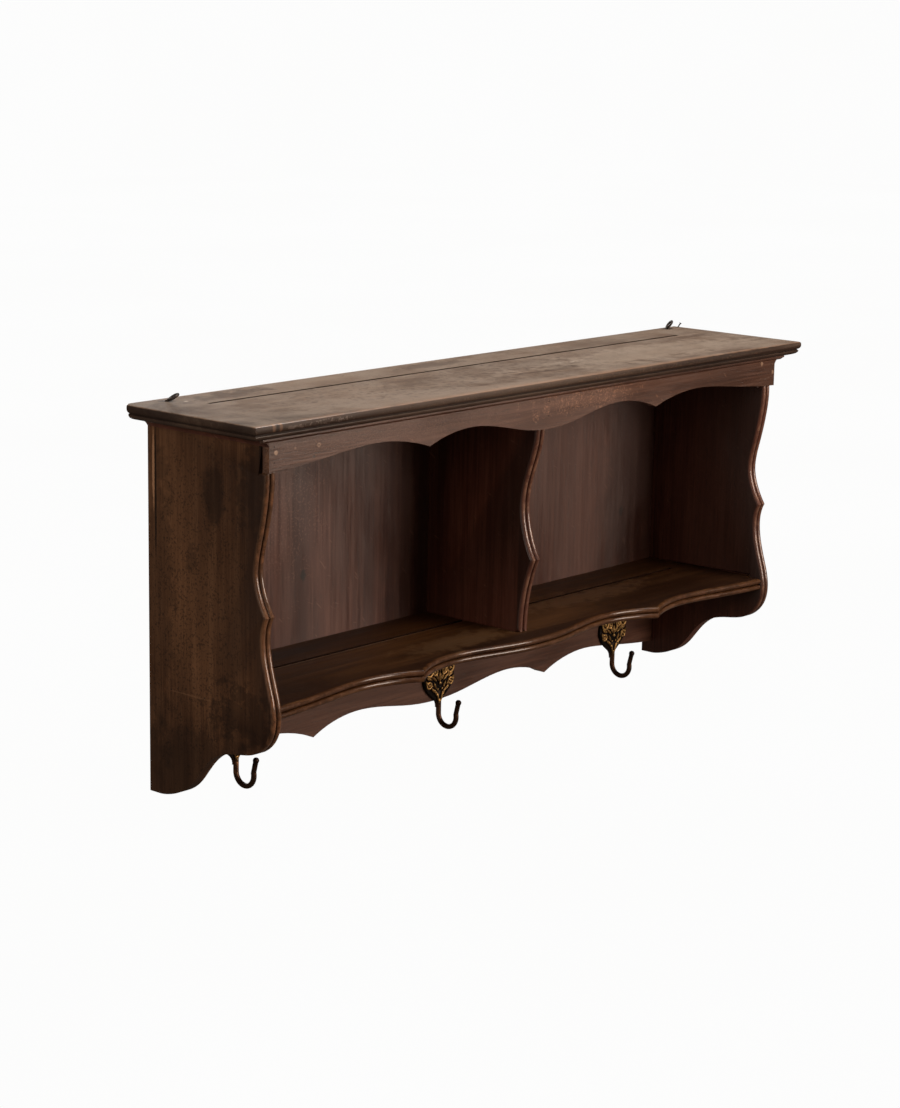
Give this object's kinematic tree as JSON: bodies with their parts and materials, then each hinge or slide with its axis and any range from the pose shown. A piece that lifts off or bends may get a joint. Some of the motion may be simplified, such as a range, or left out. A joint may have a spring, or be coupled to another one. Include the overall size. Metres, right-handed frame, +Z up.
{
  "type": "wall shelf with coat hooks",
  "caption": "Hanging wall shelf with scroll-cut sides, a centre divider, moulded top, shaped frieze and a rail of cast coat hooks under the shelf",
  "frame": {"origin": "on the wall plane, midway along the piece, level with the upper surface of the lower shelf: the point lies in the back edge of the centre divider", "axes": "X along the wall to the viewer's right, Y into the wall, Z up; the viewer stands on the -Y side"},
  "size_m": [1.105, 0.23, 0.5264],
  "materials": {
    "top_wood": "worn dark varnish, dusty and rubbed to grey-brown on the upper face",
    "carcass_wood": "dark brown stained varnish, rubbed light along the beads",
    "shelf_wood": "dark varnish worn to olive brown",
    "frieze_wood": "faded brown varnish",
    "panel_wood": "plain stained softwood",
    "cast_brass": "cast brass under dark patina, bright where it is handled",
    "steel": "dull and slightly rusted"
  },
  "bodies": {
    "root": {"top_board": "top_wood", "left_side": "carcass_wood", "right_side": "carcass_wood", "centre_divider": "carcass_wood", "bottom_shelf": "shelf_wood", "frieze": "frieze_wood", "hook_rail": "frieze_wood", "left_bed_moulding": "carcass_wood", "right_bed_moulding": "carcass_wood", "front_bed_moulding": "carcass_wood", "back_panel_left": "panel_wood", "back_panel_right": "panel_wood", "top_glue_blocks": "panel_wood", "rail_glue_blocks": "panel_wood", "hook_left": "cast_brass", "hook_middle": "cast_brass", "hook_right": "cast_brass", "hook_screws": "steel", "screw_eye_left": "steel", "screw_eye_right": "steel", "bent_nail": "steel", "frieze_nails": "steel", "left_side_nails": "steel", "right_side_nails": "steel", "back_panel_nails": "steel"}
  },
  "joints": []
}
